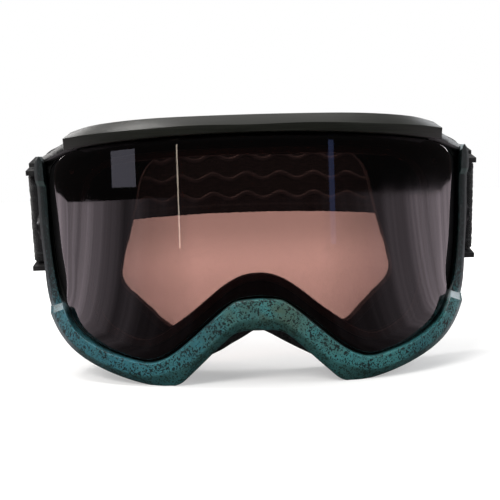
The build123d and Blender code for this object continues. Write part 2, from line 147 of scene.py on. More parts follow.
def mirrored(points):
    return list(points) + [(-x, z) for x, z in list(points)[-2:0:-1]]


def outline(points, n=720):
    return cubic(mirrored(points), True, n)


def polar_match(curve, ref, centre=(0.0, 8.0)):
    """Points of a closed curve in the same directions from the centre as the points of ref."""
    c = np.array(centre)
    a = np.unwrap(np.arctan2(*(curve - c).T[::-1]))
    r = np.linalg.norm(curve - c, axis=1)
    if a[-1] < a[0]:
        a, r = a[::-1], r[::-1]
    a3 = np.concatenate([a - 2 * math.pi, a, a + 2 * math.pi])
    r3 = np.concatenate([r, r, r])
    b = np.arctan2(*(ref - c).T[::-1])
    b = np.mod(b - a[0], 2 * math.pi) + a[0]
    rr = np.interp(b, a3, r3)
    return c + rr[:, None] * np.column_stack([np.cos(b), np.sin(b)])


# ------------------------------------------------------------------ mesh helpers
def make(name, V, F, body, mat, replaces=(), angle=35.0, uv=None):
    me = bpy.data.meshes.new(name)
    me.from_pydata([tuple(v) for v in V], [], F)
    me.validate()
    bm = bmesh.new()
    bm.from_mesh(me)
    bmesh.ops.recalc_face_normals(bm, faces=bm.faces)
    bm.to_mesh(me)
    bm.free()
    if uv is not None:
        layer = me.uv_layers.new(name="UVMap")
        idx = np.zeros(len(me.loops), np.int32)
        me.loops.foreach_get("vertex_index", idx)
        layer.data.foreach_set("uv", np.asarray(uv, np.float32)[idx].ravel())
    ob = bpy.data.objects.new(name, me)
    bpy.context.scene.collection.objects.link(ob)
    if mat:
        me.materials.append(mat)
    smooth(ob, angle)
    if body:
        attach(ob, body)
    if replaces:
        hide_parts(*replaces)
    return ob


def smooth(ob, angle=35.0):
    me = ob.data
    me.polygons.foreach_set("use_smooth", [True] * len(me.polygons))
    if angle < 180:
        me.set_sharp_from_angle(angle=math.radians(angle))
    me.update()


def grid_faces(nu, nv, wrap_u, wrap_v, base=0):
    F = []
    for i in range(nu if wrap_u else nu - 1):
        i2 = (i + 1) % nu
        for j in range(nv if wrap_v else nv - 1):
            j2 = (j + 1) % nv
            F.append((base + i * nv + j, base + i2 * nv + j, base + i2 * nv + j2, base + i * nv + j2))
    return F


def skin(G, wrap_u=True, wrap_v=True, cap=False):
    """Vertices and faces of a grid G[u][v] of points; u runs round the section, v along the path."""
    nu, nv = G.shape[:2]
    V = G.reshape(-1, 3)
    F = grid_faces(nu, nv, wrap_u, wrap_v)
    if cap and not wrap_v:
        F.append(tuple(i * nv for i in range(nu)))
        F.append(tuple(i * nv + nv - 1 for i in range(nu))[::-1])
    return V, F


def band(inner, outer, section, depth):
    """Section points (t, d) swept round a band between two matched curves; depth(x, z, d) gives y."""
    G = []
    for t, d in section:
        p = inner + np.asarray(t)[..., None] * (outer - inner) if np.ndim(t) else inner + t * (outer - inner)
        y = depth(p[:, 0], p[:, 1], d)
        G.append(np.column_stack([p[:, 0], y, p[:, 1]]))
    return np.array(G)


def concentric(x, z, d):
    """d mm in front of the lens surface, square to it."""
    return R - np.sqrt(np.maximum((R + d) ** 2 - x ** 2, 1.0))


def behind(x, z, d):
    """d mm straight back from the lens surface."""
    return curve_y(x) + d


def subsurf(ob, levels=1):
    m = ob.modifiers.new("subsurf", "SUBSURF")
    m.levels = m.render_levels = levels
    return m


def bevel(ob, width=0.3, segments=2, angle=32):
    m = ob.modifiers.new("bevel", "BEVEL")
    m.width = width / 1000
    m.segments = segments
    m.limit_method = "ANGLE"
    m.angle_limit = math.radians(angle)
    m.harden_normals = False
    m.use_clamp_overlap = True
    return m


def apply_modifiers(ob):
    dg = bpy.context.evaluated_depsgraph_get()
    me = bpy.data.meshes.new_from_object(ob.evaluated_get(dg), preserve_all_data_layers=True, depsgraph=dg)
    ob.modifiers.clear()
    old = ob.data
    ob.data = me
    bpy.data.meshes.remove(old)


# ------------------------------------------------------------------ materials
class Mat:
    """A small helper for building node materials; scales are per metre on object coordinates."""

    def __init__(self, name):
        self.m = bpy.data.materials.new(name)
        self.m.use_nodes = True
        self.t = self.m.node_tree
        self.t.nodes.clear()
        self.out = self.t.nodes.new("ShaderNodeOutputMaterial")
        self._c = None

    def n(self, kind, **kw):
        node = self.t.nodes.new(kind)
        for k, v in kw.items():
            setattr(node, k, v)
        return node

    def put(self, sock, v):
        if isinstance(v, (int, float, tuple, list)):
            if isinstance(v, (tuple, list)) and len(v) == 3 and len(getattr(sock, "default_value", (0,) * 3)) == 4:
                v = (*v, 1.0)
            sock.default_value = v
        else:
            self.t.links.new(v, sock)

    @property
    def co(self):
        if self._c is None:
            self._c = self.n("ShaderNodeTexCoord").outputs["Object"]
        return self._c

    def uv(self):
        return self.n("ShaderNodeTexCoord").outputs["UV"]

    def mapped(self, vec, scale=(1, 1, 1), rot=(0, 0, 0)):
        n = self.n("ShaderNodeMapping")
        self.put(n.inputs["Vector"], vec)
        n.inputs["Scale"].default_value = scale
        n.inputs["Rotation"].default_value = rot
        return n.outputs[0]

    def noise(self, scale, detail=3.0, rough=0.55, vec=None, dist=0.0):
        n = self.n("ShaderNodeTexNoise")
        self.put(n.inputs["Vector"], vec if vec is not None else self.co)
        n.inputs["Scale"].default_value = scale
        n.inputs["Detail"].default_value = detail
        n.inputs["Roughness"].default_value = rough
        n.inputs["Distortion"].default_value = dist
        return n.outputs["Fac"]

    def voronoi(self, scale, feature="F1", rand=1.0, vec=None, out="Distance"):
        n = self.n("ShaderNodeTexVoronoi", feature=feature)
        self.put(n.inputs["Vector"], vec if vec is not None else self.co)
        n.inputs["Scale"].default_value = scale
        n.inputs["Randomness"].default_value = rand
        return n.outputs[out]

    def ramp(self, fac, *stops, interp="LINEAR"):
        n = self.n("ShaderNodeValToRGB")
        n.color_ramp.interpolation = interp
        el = n.color_ramp.elements
        while len(el) < len(stops):
            el.new(0.5)
        for e, (p, c) in zip(el, stops):
            e.position = p
            e.color = (c, c, c, 1) if isinstance(c, (int, float)) else (*c, 1)
        self.put(n.inputs[0], fac)
        return n.outputs[0]

    def mix(self, fac, a, b, mode="MIX"):
        n = self.n("ShaderNodeMix", data_type="RGBA", blend_type=mode)
        self.put(n.inputs[0], fac)
        self.put(n.inputs[6], a)
        self.put(n.inputs[7], b)
        return n.outputs[2]

    def math(self, op, a, b=0.0, c=0.0):
        n = self.n("ShaderNodeMath", operation=op)
        for s, v in zip(n.inputs, (a, b, c)):
            self.put(s, v)
        return n.outputs[0]

    def xyz(self, vec=None):
        n = self.n("ShaderNodeSeparateXYZ")
        self.put(n.inputs[0], vec if vec is not None else self.co)
        return n.outputs

    def bump(self, height, strength=0.3, dist=0.0003, normal=None):
        n = self.n("ShaderNodeBump")
        n.inputs["Strength"].default_value = strength
        n.inputs["Distance"].default_value = dist
        self.put(n.inputs["Height"], height)
        if normal is not None:
            self.put(n.inputs["Normal"], normal)
        return n.outputs[0]

    def edges(self, lo=0.52, hi=0.62):
        g = self.n("ShaderNodeNewGeometry")
        return self.ramp(g.outputs["Pointiness"], (lo, 0.0), (hi, 1.0))

    def bsdf(self, **kw):
        b = self.n("ShaderNodeBsdfPrincipled")
        for k, v in kw.items():
            self.put(b.inputs[k.replace("_", " ")], v)
        self.t.links.new(b.outputs[0], self.out.inputs[0])
        return b

    def done(self, shader=None):
        if shader is not None:
            self.t.links.new(shader, self.out.inputs[0])
        return self.m


def plastic(name, base, light, rough=0.45, grain=2600, wear=(0.25, 0.25, 0.25), wear_amt=0.35, bump=0.25, spec=0.5):
    m = Mat(name)
    big = m.noise(45, 4, 0.6)
    col = m.mix(m.ramp(big, (0.35, 0.0), (0.7, 1.0)), base, light)
    scuff = m.noise(420, 6, 0.7, vec=m.mapped(m.co, (1, 1, 3.5)))
    e = m.math("MULTIPLY", m.edges(), m.ramp(m.noise(300, 4, 0.7), (0.42, 0.0), (0.66, 1.0)))
    col = m.mix(m.math("MULTIPLY", e, wear_amt), col, wear)
    r = m.math("ADD", m.math("MULTIPLY", m.ramp(scuff, (0.3, 0.0), (0.75, 1.0)), 0.16), rough - 0.06)
    h = m.math("ADD", m.voronoi(grain), m.math("MULTIPLY", m.noise(grain * 0.5, 3, 0.6), 0.6))
    m.bsdf(Base_Color=col, Roughness=r, Specular_IOR_Level=spec, Normal=m.bump(h, bump, 0.00012))
    return m.done()


def metal(name, base, rough=0.3):
    m = Mat(name)
    lines = m.noise(900, 5, 0.7, vec=m.mapped(m.co, (1, 9, 1)))
    col = m.mix(m.ramp(m.noise(500, 4, 0.6), (0.3, 0.0), (0.8, 1.0)), base, tuple(c * 0.72 for c in base))
    r = m.math("ADD", m.math("MULTIPLY", lines, 0.25), rough - 0.1)
    m.bsdf(Base_Color=col, Metallic=1.0, Roughness=r, Normal=m.bump(lines, 0.12, 0.0001))
    return m.done()


def foam(name, base, light, cell=900, bump=0.7, sheen=0.4):
    m = Mat(name)
    c1 = m.voronoi(cell, rand=1.0)
    c2 = m.voronoi(cell * 2.3, rand=1.0)
    n1 = m.noise(cell * 0.25, 4, 0.65)
    h = m.math("ADD", m.math("MULTIPLY", c1, 0.8), m.math("MULTIPLY", c2, 0.4))
    col = m.mix(m.ramp(c1, (0.1, 0.0), (0.55, 1.0)), base, light)
    col = m.mix(m.ramp(n1, (0.35, 0.0), (0.7, 0.5)), col, tuple(c * 1.5 for c in light))
    b = m.bsdf(Base_Color=col, Roughness=m.math("ADD", m.math("MULTIPLY", n1, 0.15), 0.8), Specular_IOR_Level=0.25,
               Normal=m.bump(h, bump, 0.0005), Sheen_Weight=sheen, Sheen_Roughness=0.5)
    return m.done()


def fleece_mat():
    m = Mat("fleece_brushed")
    n1 = m.noise(700, 6, 0.75, dist=0.6)
    n2 = m.noise(2600, 4, 0.7)
    big = m.noise(60, 3, 0.5)
    col = m.mix(m.ramp(n1, (0.3, 0.0), (0.72, 1.0)), (0.010, 0.010, 0.011), (0.045, 0.045, 0.048))
    col = m.mix(m.ramp(big, (0.35, 0.0), (0.7, 0.35)), col, (0.07, 0.07, 0.075))
    h = m.math("ADD", n1, m.math("MULTIPLY", n2, 0.5))
    m.bsdf(Base_Color=col, Roughness=0.95, Specular_IOR_Level=0.15, Sheen_Weight=0.8, Sheen_Roughness=0.4,
           Sheen_Tint=(0.5, 0.5, 0.52), Normal=m.bump(h, 0.8, 0.0006))
    return m.done()


def speckle_mat(name="rim_speckle"):
    """Teal paint with olive and grey patches under dense dark specks; it fades to black up the side strips."""
    m = Mat(name)
    x, _, z = m.xyz()
    hz = m.math("SUBTRACT", m.math("MULTIPLY", z, 1000.0), Z0)          # height on the drawing datum, mm
    hx = m.math("MULTIPLY", x, 1000.0)
    side = m.ramp(m.math("MULTIPLY", m.math("ABSOLUTE", hx), 0.01), (0.71, 0.0), (0.745, 1.0))
    up = m.ramp(m.math("MULTIPLY_ADD", hz, 0.01, 0.5), (0.285, 0.0), (0.315, 0.50), (0.40, 0.70), (0.52, 0.90), (0.80, 0.97))
    strip = m.math("MULTIPLY", side, up)
    patch = m.noise(30, 3, 0.55, dist=0.6)
    soft = m.noise(260, 5, 0.65)
    col = m.mix(m.ramp(patch, (0.40, 0.0), (0.60, 1.0)), (0.017, 0.100, 0.116), (0.030, 0.152, 0.158))
    # bluer on the wearer's right, olive about the nose
    left = m.ramp(m.math("MULTIPLY_ADD", hx, 0.01, 0.5), (0.05, 0.7), (0.38, 0.0))
    col = m.mix(left, col, (0.019, 0.115, 0.158))
    nose = m.math("SUBTRACT", 1.0, m.math("MULTIPLY", m.math("ABSOLUTE", m.math("SUBTRACT", hx, 4.0)), 0.032))
    olive = m.math("MULTIPLY", m.ramp(nose, (0.0, 0.12), (1.0, 1.0)), m.ramp(m.noise(85, 5, 0.65, dist=0.4), (0.40, 0.0), (0.60, 1.0)))
    col = m.mix(m.math("MULTIPLY", olive, 0.85), col, (0.048, 0.064, 0.036))
    col = m.mix(m.ramp(soft, (0.42, 0.0), (0.70, 0.55)), col, (0.014, 0.060, 0.058))
    col = m.mix(m.math("MULTIPLY", strip, 0.96), col, (0.0022, 0.0085, 0.0080))
    # specks: random cells of two sizes, denser in some places
    c1 = m.xyz(m.voronoi(1850, out="Color", vec=m.mapped(m.co, (1, 1, 0.8))))[0]
    c2 = m.xyz(m.voronoi(3000, out="Color"))[1]
    c3 = m.xyz(m.voronoi(950, out="Color"))[2]
    dens = m.ramp(m.noise(210, 5, 0.72), (0.36, 0.06), (0.50, 0.22), (0.66, 0.58))
    dens = m.math("MAXIMUM", dens, strip)
    d1 = m.math("LESS_THAN", c1, m.math("MULTIPLY", dens, 0.80))
    d2 = m.math("LESS_THAN", c2, m.math("MULTIPLY", dens, 0.62))
    d3 = m.math("LESS_THAN", c3, m.math("MULTIPLY_ADD", dens, 0.40, -0.11))
    grey = m.math("LESS_THAN", m.xyz(m.voronoi(1900, out="Color"))[0], 0.10)
    col = m.mix(m.math("MULTIPLY", grey, 0.30), col, (0.060, 0.135, 0.130))
    dark = m.math("MAXIMUM", d1, m.math("MAXIMUM", d2, d3))
    col = m.mix(m.math("MULTIPLY", dark, 0.96), col, (0.0018, 0.0040, 0.0040))
    # painted shade: the downward-facing underside facet is darkened to a deeper green, standing in for the shade it
    # falls in
    g = m.n("ShaderNodeNewGeometry")
    nz = m.xyz(g.outputs["True Normal"])[2]
    low = m.ramp(m.math("MULTIPLY", nz, -1.0), (0.12, 0.0), (0.26, 1.0))
    col = m.mix(m.math("MULTIPLY", low, 0.50), col, (0.012, 0.044, 0.036))
    # painted highlight: up-facing chamfers at the side steps and on top of the ears are lightened to stand in for
    # the light they catch
    face = m.math("MULTIPLY", m.ramp(nz, (0.34, 0.0), (0.44, 1.0)), side)
    face = m.math("MULTIPLY", face, m.math("GREATER_THAN", hz, -27.0))
    face = m.math("MULTIPLY", face, m.ramp(m.math("MULTIPLY_ADD", hx, 0.01, 0.5), (0.40, 0.35), (0.60, 1.0)))
    col = m.mix(m.math("MULTIPLY", face, 0.75), col, m.mix(m.noise(900, 4, 0.7), (0.08, 0.11, 0.12), (0.40, 0.45, 0.47)))
    e = m.math("MULTIPLY", m.edges(0.53, 0.66), m.ramp(m.noise(350, 4, 0.7), (0.45, 0.0), (0.65, 1.0)))
    col = m.mix(m.math("MULTIPLY", e, 0.18), col, (0.06, 0.11, 0.105))
    rough = m.math("ADD", m.math("MULTIPLY", dark, 0.12), m.math("MULTIPLY_ADD", soft, 0.15, 0.42))
    m.bsdf(Base_Color=col, Roughness=rough, Specular_IOR_Level=m.math("MULTIPLY_ADD", strip, -0.22, 0.32),
           Normal=m.bump(m.math("ADD", dark, m.math("MULTIPLY", soft, 0.5)), 0.10, 0.0001))
    return m.done()


def brow_mat():
    """Soft-touch black with long brushed streaks that catch the light."""
    m = Mat("brow_brushed")
    v = m.mapped(m.co, (14, 14, 900))
    streak = m.noise(4.0, 6, 0.7, vec=v)
    v2 = m.mapped(m.co, (60, 60, 2600))
    streak2 = m.noise(3.0, 4, 0.6, vec=v2)
    col = m.mix(m.ramp(streak, (0.38, 0.0), (0.68, 1.0)), (0.0045, 0.0050, 0.0038), (0.0125, 0.0135, 0.0105))
    col = m.mix(m.math("MULTIPLY", m.edges(0.52, 0.6), 0.35), col, (0.026, 0.028, 0.024))
    r = m.math("ADD", m.math("MULTIPLY", streak, 0.20), 0.26)
    h = m.math("ADD", streak2, m.math("MULTIPLY", m.voronoi(2600), 0.5))
    m.bsdf(Base_Color=col, Roughness=r, Specular_IOR_Level=0.20, Normal=m.bump(h, 0.12, 0.0001))
    return m.done()


def lens_mat(name, tint, gloss_rough=0.012, extra=0.012, smear=True, shine=1.0):
    """Tinted lens: see-through colour plus a glossy surface, with faint smears."""
    m = Mat(name)
    tr = m.n("ShaderNodeBsdfTransparent")
    xx, yy, zz = m.xyz()
    # tint is a little denser towards the sides
    d = m.math("MULTIPLY", m.math("ABSOLUTE", xx), 9.0)
    t2 = tuple(c * 0.62 for c in tint)
    m.put(tr.inputs[0], m.mix(m.ramp(d, (0.2, 0.0), (0.75, 1.0)), tint, t2))
    gl = m.n("ShaderNodeBsdfGlossy")
    sm = m.noise(22, 5, 0.6, vec=m.mapped(m.co, (1, 1, 0.25)), dist=0.8)
    if smear:
        m.put(gl.inputs["Roughness"], m.math("ADD", m.math("MULTIPLY", m.ramp(sm, (0.45, 0.0), (0.75, 1.0)), 0.06), gloss_rough))
    else:
        gl.inputs["Roughness"].default_value = gloss_rough
    gl.inputs["Color"].default_value = (0.92, 0.86, 0.88, 1)
    fr = m.n("ShaderNodeFresnel")
    fr.inputs["IOR"].default_value = 1.45
    geo = m.n("ShaderNodeNewGeometry")
    outer = m.math("SUBTRACT", 1.0, geo.outputs["Backfacing"])
    fac = m.math("MULTIPLY", m.math("ADD", m.math("MULTIPLY", fr.outputs[0], shine), m.math("MULTIPLY", sm, extra)), outer)
    mx = m.n("ShaderNodeMixShader")
    m.put(mx.inputs[0], fac)
    m.t.links.new(tr.outputs[0], mx.inputs[1])
    m.t.links.new(gl.outputs[0], mx.inputs[2])
    m.m.diffuse_color = (*tint, 0.5)
    return m.done(mx.outputs[0])


def webbing_mat():
    m = Mat("webbing_woven")
    u, v, _ = m.xyz(m.uv())          # u along the strap in mm, v across in mm
    rib = m.math("SINE", m.math("MULTIPLY", v, 2 * math.pi / 1.05))
    pick = m.math("SINE", m.math("MULTIPLY", u, 2 * math.pi / 0.85))
    tw = m.math("MULTIPLY", rib, pick)
    fuzz = m.noise(1800, 5, 0.8)
    h = m.math("ADD", m.math("MULTIPLY", tw, 0.5), m.math("ADD", m.math("MULTIPLY", rib, 0.35), m.math("MULTIPLY", fuzz, 0.9)))
    col = m.mix(m.ramp(tw, (0.0, 0.0), (1.0, 1.0)), (0.0045, 0.0045, 0.005), (0.019, 0.019, 0.021))
    col = m.mix(m.ramp(fuzz, (0.52, 0.0), (0.74, 0.5)), col, (0.075, 0.075, 0.08))
    # two heavier lines near each edge, woven in a greyer yarn
    av = m.math("ABSOLUTE", v)
    line = m.ramp(m.math("MULTIPLY", m.math("ABSOLUTE", m.math("SUBTRACT", av, 14.6)), 1.0), (0.35, 1.0), (0.6, 0.0))
    col = m.mix(m.math("MULTIPLY", line, 0.7), col, (0.028, 0.030, 0.032))
    m.bsdf(Base_Color=col, Roughness=0.86, Specular_IOR_Level=0.15, Sheen_Weight=0.22, Sheen_Roughness=0.4,
           Normal=m.bump(h, 0.9, 0.00035))
    return m.done()


def thread_mat():
    m = Mat("thread")
    tw = m.noise(2400, 3, 0.6)
    m.bsdf(Base_Color=m.mix(tw, (0.03, 0.03, 0.032), (0.11, 0.11, 0.115)), Roughness=0.8, Sheen_Weight=0.5,
           Normal=m.bump(tw, 0.5, 0.0002))
    return m.done()


def silicone_mat():
    m = Mat("silicone_grip")
    n = m.noise(500, 4, 0.6)
    m.bsdf(Base_Color=m.mix(n, (0.012, 0.012, 0.014), (0.030, 0.031, 0.034)), Roughness=m.math("MULTIPLY_ADD", n, 0.2, 0.34),
           Specular_IOR_Level=0.3, Normal=m.bump(n, 0.15, 0.0002))
    return m.done()


M = {
    "frame": plastic("frame_shell", (0.0050, 0.0054, 0.0052), (0.0105, 0.011, 0.011), 0.48, 2400, wear=(0.045, 0.047, 0.045), bump=0.16, spec=0.22),
    "carrier": plastic("carrier_shell", (0.0022, 0.0022, 0.0024), (0.0045, 0.0045, 0.0048), 0.5, 1500, wear=(0.02, 0.02, 0.02), wear_amt=0.1, bump=0.03, spec=0.12),
    "rim": speckle_mat(),
    "brow": brow_mat(),
    "outrigger": plastic("outrigger_shell", (0.0060, 0.0060, 0.0066), (0.012, 0.012, 0.0125), 0.42, 2200, wear=(0.05, 0.05, 0.05), bump=0.18, spec=0.28),
    "slider": plastic("slider_shell", (0.0055, 0.0055, 0.006), (0.011, 0.011, 0.012), 0.34, 3000, wear=(0.06, 0.06, 0.06), bump=0.12, spec=0.35),
    "pin": metal("pin_blackened", (0.030, 0.030, 0.032), 0.34),
    "steel": metal("pin_steel", (0.56, 0.56, 0.57), 0.28),
    "socket": metal("socket_alloy", (0.62, 0.62, 0.63), 0.32),
    "magnet": metal("magnet_nickel", (0.50, 0.49, 0.47), 0.25),
    "foam_base": foam("foam_coarse", (0.006, 0.006, 0.0065), (0.022, 0.022, 0.024), 620, 0.8),
    "foam_mid": foam("foam_fine", (0.010, 0.010, 0.011), (0.034, 0.034, 0.037), 1100, 0.7),
    "vent": foam("foam_vent", (0.006, 0.006, 0.007), (0.024, 0.024, 0.026), 480, 1.0),
    "gasket": foam("foam_gasket", (0.006, 0.006, 0.006), (0.016, 0.016, 0.017), 1500, 0.4, 0.1),
    "fleece": fleece_mat(),
    "lens": lens_mat("lens_smoke", (0.565, 0.415, 0.38), extra=0.006, shine=1.8),
    "inner": lens_mat("lens_clear", (0.95, 0.94, 0.94), 0.02, 0.0, smear=False, shine=0.2),
    "webbing": webbing_mat(),
    "thread": thread_mat(),
    "silicone": silicone_mat(),
}


def dress(node, key, width=0.0, angle=32, seg=2):
    ob = NODES[node]
    ob.data.materials.clear()
    ob.data.materials.append(M[key])
    for p in ob.data.polygons:
        p.material_index = 0
    if width:
        bevel(ob, width, seg, angle)
    return ob


dress("frame", "frame", 0.25)
dress("lens_carrier", "carrier", 0.2)
dress("inner_lens", "inner")
dress("frame_magnets", "magnet", 0.15)
dress("lens_magnets", "magnet", 0.15)
for s in ("left", "right"):
    dress(s + "_snap_socket", "socket", 0.15)
    dress(s + "_snap_pin", "steel", 0.1)
    dress(s + "_pivot_pin", "pin", 0.25)
    dress(s + "_strap_bar", "pin", 0.3)
    dress(s + "_outrigger", "outrigger", 0.6, seg=3)
    dress(s + "_slider", "slider", 0.5, seg=3)

# ------------------------------------------------------------------ outer lens: a closed, softly edged shield
def build_lens():
    n = 480
    out = outline(LENS, n)
    c = np.array([0.0, 8.0])
    front, back, edge = 0.0, -1.5, 0.3
    rings = []

    def ring(scale_pts, d):
        return np.column_stack([scale_pts[:, 0], concentric(scale_pts[:, 0], None, d), scale_pts[:, 1]])

    nrm = np.column_stack([np.roll(out[:, 1], -1) - np.roll(out[:, 1], 1), -(np.roll(out[:, 0], -1) - np.roll(out[:, 0], 1))])
    nrm /= np.linalg.norm(nrm, axis=1)[:, None]
    if np.sum(nrm * (out - c)) < 0:
        nrm = -nrm
    inset = out - nrm * edge
    levels = np.linspace(0.02, 1.0, 16)
    for t in levels:
        rings.append(ring(c + t * (inset - c), front))
    for a in (30, 60):
        a = math.radians(a)
        rings.append(ring(out - nrm * edge * (1 - math.sin(a)), front - edge * (1 - math.cos(a))))
    rings.append(ring(out, front - edge))
    rings.append(ring(out, back + edge))
    for a in (60, 30):
        a = math.radians(a)
        rings.append(ring(out - nrm * edge * (1 - math.sin(a)), back + edge * (1 - math.cos(a))))
    for t in levels[::-1]:
        rings.append(ring(c + t * (inset - c), back))
    G = np.array(rings)
    nu, nv = G.shape[:2]
    V = to_row(G.reshape(-1, 3))
    F = grid_faces(nu, nv, False, True)
    F.append(tuple(range(nv)))
    F.append(tuple((nu - 1) * nv + j for j in range(nv))[::-1])
    ob = make("lens_shield", V, F, "lens", M["lens"], ("outer_lens",), angle=180)
    # true cylinder normals on the two faces, so reflections run clean
    me = ob.data
    co = np.zeros(len(me.vertices) * 3)
    me.vertices.foreach_get("co", co)
    co = co.reshape(-1, 3)
    ax = np.column_stack([co[:, 0], co[:, 1] - (R + Y0) / 1000])
    ax /= np.linalg.norm(ax, axis=1)[:, None]
    vn = np.zeros(len(me.vertices) * 3)
    me.vertices.foreach_get("normal", vn)
    vn = vn.reshape(-1, 3)
    k = len(levels)
    f = np.arange(len(co)) < (k - 1) * nv
    b = np.arange(len(co)) >= (nu - k + 1) * nv
    vn[f] = np.column_stack([ax[f], np.zeros(f.sum())])
    vn[b] = -np.column_stack([ax[b], np.zeros(b.sum())])
    me.normals_split_custom_set_from_vertices([tuple(v) for v in vn])
    return ob


build_lens()

# ------------------------------------------------------------------ gasket between the lenses
N = 720
open_ref = outline(OPENING, N)


def swell(points, amount):
    full = np.array(mirrored(points), float)
    t = np.roll(full, -1, 0) - np.roll(full, 1, 0)
    nrm = np.column_stack([-t[:, 1], t[:, 0]])
    nrm /= np.linalg.norm(nrm, axis=1)[:, None]
    p = full + nrm * amount
    p[0, 0] = p[len(points) - 1, 0] = 0
    return cubic(p, True, N)


gin = open_ref
gout = polar_match(swell(OPENING, 2.35), gin)
wob = 0.10 * np.sin(np.arange(N) * 2 * math.pi * 46 / N)
sec = [(0.03, -1.7), (0.0, -2.4), (-0.03, -3.4), (0.0, -4.4), (0.03, -5.1), (0.5, -5.15), (0.97, -5.1), (1.0, -4.4), (1.0, -2.4), (0.97, -1.7), (0.5, -1.65)]
V, F = skin(band(gin, gout, sec, concentric))
g = make("gasket_foam", to_row(V), F, "lens", M["gasket"], ("lens_gasket",), angle=60)

# ------------------------------------------------------------------ lower rim and side strips
RIM_N = 900


def rim_curves(z_from, z_to, n=RIM_N):
    out = cubic([(-x, z) for x, z in RIM_OUT] + [p for p in RIM_OUT[-2::-1]], False, 2400)
    inn = cubic([(-x, z) for x, z in RIM_IN] + [p for p in RIM_IN[-2::-1]], False, 2400)
    return inn, out


def match_open(inner, outer, n, a0=None, a1=None, centre=(0.0, 8.0)):
    c = np.array(centre)
    ai = np.unwrap(np.arctan2(*(inner - c).T[::-1]))
    ao = np.unwrap(np.arctan2(*(outer - c).T[::-1]))
    ai = np.where(ai > math.pi / 2, ai - 2 * math.pi, ai)
    ao = np.where(ao > math.pi / 2, ao - 2 * math.pi, ao)
    lo = max(ai[0], ao[0]) if a0 is None else a0
    hi = min(ai[-1], ao[-1]) if a1 is None else a1
    # even spacing along the outer curve
    keep = (ao >= lo) & (ao <= hi)
    a = ao[keep]
    L = np.concatenate([[0], np.cumsum(np.linalg.norm(np.diff(outer[keep], axis=0), axis=1))])
    q = np.interp(np.linspace(0, L[-1], n), L, a)
    ri = np.interp(q, ai, np.linalg.norm(inner - c, axis=1))
    ro = np.interp(q, ao, np.linalg.norm(outer - c, axis=1))
    dirs = np.column_stack([np.cos(q), np.sin(q)])
    return c + ri[:, None] * dirs, c + ro[:, None] * dirs


rin, rout = rim_curves(0, 0)


def angle_of(x, z):
    a = math.atan2(z - 8.0, x)
    return a - 2 * math.pi if a > math.pi / 2 else a


# bottom section, between the chamfered steps at the sides
A_STEP = angle_of(80.2, -20.6)
B_IN, B_OUT = match_open(rin, rout, RIM_N, -math.pi - A_STEP, A_STEP)
sec = [(0.02, -5.4), (0.0, -4.6), (0.0, 1.9), (0.012, 2.30), (0.035, 2.46), (0.09, 2.48), (0.13, 2.46), (0.30, 2.40),
       (0.60, 2.20), (0.66, 2.02), (0.70, 1.75), (0.93, -0.3), (0.98, -0.9), (1.0, -1.6), (1.0, -4.6), (0.98, -5.4)]
G = band(B_IN, B_OUT, sec, concentric)
# chamfer both ends: the front drops back towards the strip
s = np.linspace(0, 1, RIM_N)
L = np.concatenate([[0], np.cumsum(np.linalg.norm(np.diff(B_OUT, axis=0), axis=1))])
dist = np.minimum(L, L[-1] - L)
drop = np.clip(1 - dist / 2.4, 0, 1) * 3.2
for i, (t, d) in enumerate(sec):
    if d > -3.5:
        p = np.column_stack([G[i][:, 0], G[i][:, 2]])
        dd = np.maximum(d - drop, -3.6)
        G[i][:, 1] = concentric(p[:, 0], None, dd)
G[:, :, 2] = np.maximum(G[:, :, 2], -47.7)
V, F = skin(G, wrap_v=False, cap=True)
make("rim_lower", to_row(V), F, "frame", M["rim"], ("lower_rim",), angle=28)

# side strips: from under the bottom section up to the ear
for side, sx in (("left", -1), ("right", 1)):
    so = cubic([(80.4, -25.5), (83.2, -18.6), (85.0, -8), (86.4, 4), (87.5, 16), (88.2, 27.0), (88.9, 32.6), (88.5, 35.6), (87.0, 37.7), (85.2, 38.3)], False, 260)
    si = cubic([(74.6, -21.2), (76.6, -17.2), (78.0, -12), (79.5, -3), (80.7, 9), (81.2, 22), (81.7, 30.5), (82.0, 34.2), (82.8, 36.6), (84.0, 38.0)], False, 260)
    so[:, 0] *= sx
    si[:, 0] *= sx
    ear = np.clip((so[:, 1] - 26.5) / 2.5, 0, 1)
    ear = ear * ear * (3 - 2 * ear)
    rows_ = []
    for t, d in [(0.03, -5.6), (0.0, -4.8), (0.0, -2.9), (0.03, -2.35), (0.10, -2.1), (0.45, -1.9), (0.56, -2.0), (0.62, -2.3), (0.95, -4.0), (1.0, -4.6), (1.0, -5.2), (0.97, -5.8)]:
        p = si + t * (so - si)
        dd = d + ear * (1.1 if 0.03 < t < 0.97 and d > -4.5 else 0.0)
        rows_.append(np.column_stack([p[:, 0], concentric(p[:, 0], None, dd), p[:, 1]]))
    V, F = skin(np.array(rows_), wrap_v=False, cap=True)
    make(f"rim_strip_{side}", to_row(V), F, "frame", M["rim"], angle=28)

# ------------------------------------------------------------------ brow bar
def brow_at(x):
    xs = [b[0] for b in BROW]
    return [np.interp(abs(x), xs, [b[k] for b in BROW]) for k in (1, 2, 3)]


bx = np.array([b[0] for b in BROW], float)


def smooth_row(k):
    v = np.array([b[k] for b in BROW])
    full = cubic(np.column_stack([np.concatenate([-bx[:0:-1], bx]), np.concatenate([v[:0:-1], v])]), False, 800)
    return full


